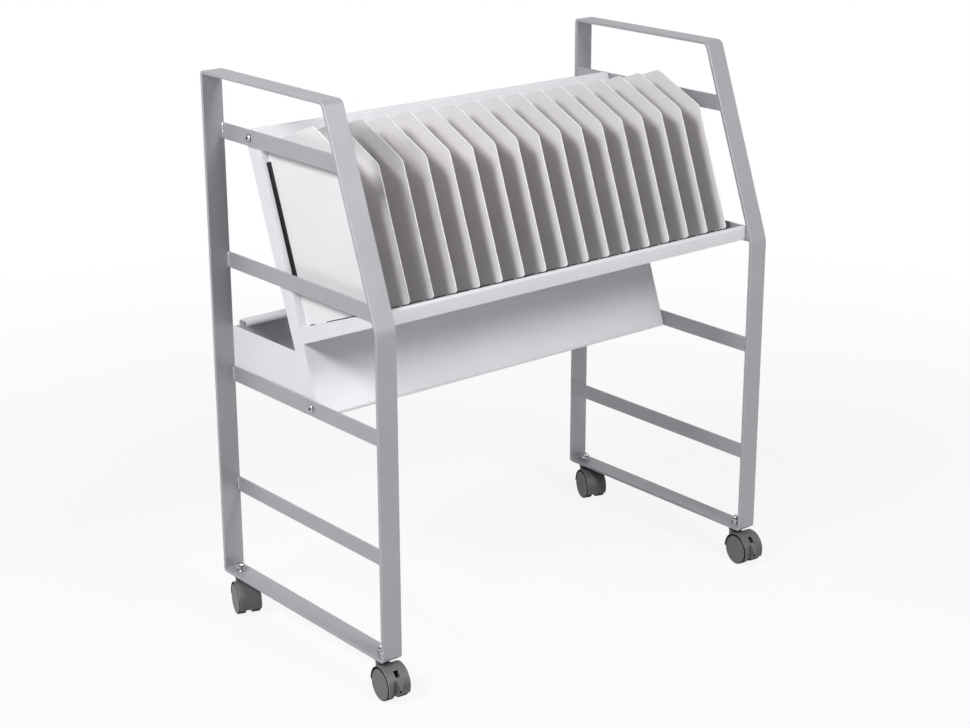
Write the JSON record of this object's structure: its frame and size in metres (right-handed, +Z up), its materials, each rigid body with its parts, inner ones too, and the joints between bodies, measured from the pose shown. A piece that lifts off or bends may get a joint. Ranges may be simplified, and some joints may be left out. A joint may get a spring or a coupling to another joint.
{
  "type": "charging cart",
  "caption": "Open charging cart: a tilted rack of upright divider plates and a charger trough between two flat-bar side frames on twin-wheel casters.",
  "frame": {"origin": "centre of the bounding box at floor level, midway between the casters", "axes": "+Z up, +X along the cart from the left side frame to the right one as seen from the loading side, +Y from the loading side to the back"},
  "size_m": [0.8042, 0.4558, 0.873],
  "materials": {
    "frame_paint": "silver-grey powder coat, fine satin",
    "tray_paint": "white powder coat, satin",
    "caster_plastic": "moulded grey nylon, fine texture",
    "wheel_plastic": "moulded grey nylon, satin",
    "dark_plastic": "black finish on the steel stem and its collar",
    "steel": "bright turned steel",
    "chrome": "bright plated fasteners"
  },
  "bodies": {
    "cart": {"cap_nut_front_left": "chrome", "cap_nut_front_right": "chrome", "cap_nut_rear_left": "chrome", "cap_nut_rear_right": "chrome", "divider_01": "tray_paint", "divider_02": "tray_paint", "divider_03": "tray_paint", "divider_04": "tray_paint", "divider_05": "tray_paint", "divider_06": "tray_paint", "divider_07": "tray_paint", "divider_08": "tray_paint", "divider_09": "tray_paint", "divider_10": "tray_paint", "divider_11": "tray_paint", "divider_12": "tray_paint", "divider_13": "tray_paint", "divider_14": "tray_paint", "divider_15": "tray_paint", "divider_16": "tray_paint", "divider_17": "tray_paint", "end_plate_left": "tray_paint", "end_plate_right": "tray_paint", "frame_loop_left": "frame_paint", "frame_loop_right": "frame_paint", "rung_left_knee": "frame_paint", "rung_left_low": "frame_paint", "rung_left_trough": "frame_paint", "rung_left_upper": "frame_paint", "rung_right_knee": "frame_paint", "rung_right_low": "frame_paint", "rung_right_trough": "frame_paint", "rung_right_upper": "frame_paint", "stem_front_left": "dark_plastic", "stem_front_right": "dark_plastic", "stem_rear_left": "dark_plastic", "stem_rear_right": "dark_plastic", "tray_bolt_left_trough": "chrome", "tray_bolt_left_upper": "chrome", "tray_bolt_right_trough": "chrome", "tray_bolt_right_upper": "chrome", "tray_sheet": "tray_paint"},
    "caster_front_left": {"hood_front_left": "caster_plastic", "axle_front_left": "steel"},
    "wheel_front_left_a": {"wheel_front_left_a": "wheel_plastic"},
    "wheel_front_left_b": {"wheel_front_left_b": "wheel_plastic"},
    "brake_front_left": {"brake_lever_front_left": "caster_plastic"},
    "caster_front_right": {"hood_front_right": "caster_plastic", "axle_front_right": "steel"},
    "wheel_front_right_a": {"wheel_front_right_a": "wheel_plastic"},
    "wheel_front_right_b": {"wheel_front_right_b": "wheel_plastic"},
    "brake_front_right": {"brake_lever_front_right": "caster_plastic"},
    "caster_rear_left": {"hood_rear_left": "caster_plastic", "axle_rear_left": "steel"},
    "wheel_rear_left_a": {"wheel_rear_left_a": "wheel_plastic"},
    "wheel_rear_left_b": {"wheel_rear_left_b": "wheel_plastic"},
    "caster_rear_right": {"hood_rear_right": "caster_plastic", "axle_rear_right": "steel"},
    "wheel_rear_right_a": {"wheel_rear_right_a": "wheel_plastic"},
    "wheel_rear_right_b": {"wheel_rear_right_b": "wheel_plastic"}
  },
  "joints": [
    {"name": "swivel_front_left", "type": "hinge", "parent": "cart", "child": "caster_front_left", "pos_m": [-0.36889, -0.17512, 0.053], "axis": [0, 0, 1], "continuous": true},
    {"name": "roll_front_left_a", "type": "hinge", "parent": "caster_front_left", "child": "wheel_front_left_a", "pos_m": [-0.37169, -0.19795, 0.025], "axis": [0.9925, -0.1219, 0], "continuous": true},
    {"name": "roll_front_left_b", "type": "hinge", "parent": "caster_front_left", "child": "wheel_front_left_b", "pos_m": [-0.37169, -0.19795, 0.025], "axis": [0.9925, -0.1219, 0], "continuous": true},
    {"name": "brake_front_left", "type": "hinge", "parent": "caster_front_left", "child": "brake_front_left", "pos_m": [-0.3743, -0.21913, 0.03886], "axis": [0.9925, -0.1219, 0], "range_deg": [0, 10]},
    {"name": "swivel_front_right", "type": "hinge", "parent": "cart", "child": "caster_front_right", "pos_m": [0.38311, -0.17512, 0.053], "axis": [0, 0, 1], "continuous": true},
    {"name": "roll_front_right_a", "type": "hinge", "parent": "caster_front_right", "child": "wheel_front_right_a", "pos_m": [0.38031, -0.19795, 0.025], "axis": [0.9925, -0.1219, 0], "continuous": true},
    {"name": "roll_front_right_b", "type": "hinge", "parent": "caster_front_right", "child": "wheel_front_right_b", "pos_m": [0.38031, -0.19795, 0.025], "axis": [0.9925, -0.1219, 0], "continuous": true},
    {"name": "brake_front_right", "type": "hinge", "parent": "caster_front_right", "child": "brake_front_right", "pos_m": [0.3777, -0.21913, 0.03886], "axis": [0.9925, -0.1219, 0], "range_deg": [0, 10]},
    {"name": "swivel_rear_left", "type": "hinge", "parent": "cart", "child": "caster_rear_left", "pos_m": [-0.36889, 0.20288, 0.053], "axis": [0, 0, 1], "continuous": true},
    {"name": "roll_rear_left_a", "type": "hinge", "parent": "caster_rear_left", "child": "wheel_rear_left_a", "pos_m": [-0.376, 0.18101, 0.025], "axis": [0.9511, -0.309, 0], "continuous": true},
    {"name": "roll_rear_left_b", "type": "hinge", "parent": "caster_rear_left", "child": "wheel_rear_left_b", "pos_m": [-0.376, 0.18101, 0.025], "axis": [0.9511, -0.309, 0], "continuous": true},
    {"name": "swivel_rear_right", "type": "hinge", "parent": "cart", "child": "caster_rear_right", "pos_m": [0.38311, 0.20288, 0.053], "axis": [0, 0, 1], "continuous": true},
    {"name": "roll_rear_right_a", "type": "hinge", "parent": "caster_rear_right", "child": "wheel_rear_right_a", "pos_m": [0.376, 0.18101, 0.025], "axis": [0.9511, -0.309, 0], "continuous": true},
    {"name": "roll_rear_right_b", "type": "hinge", "parent": "caster_rear_right", "child": "wheel_rear_right_b", "pos_m": [0.376, 0.18101, 0.025], "axis": [0.9511, -0.309, 0], "continuous": true}
  ]
}
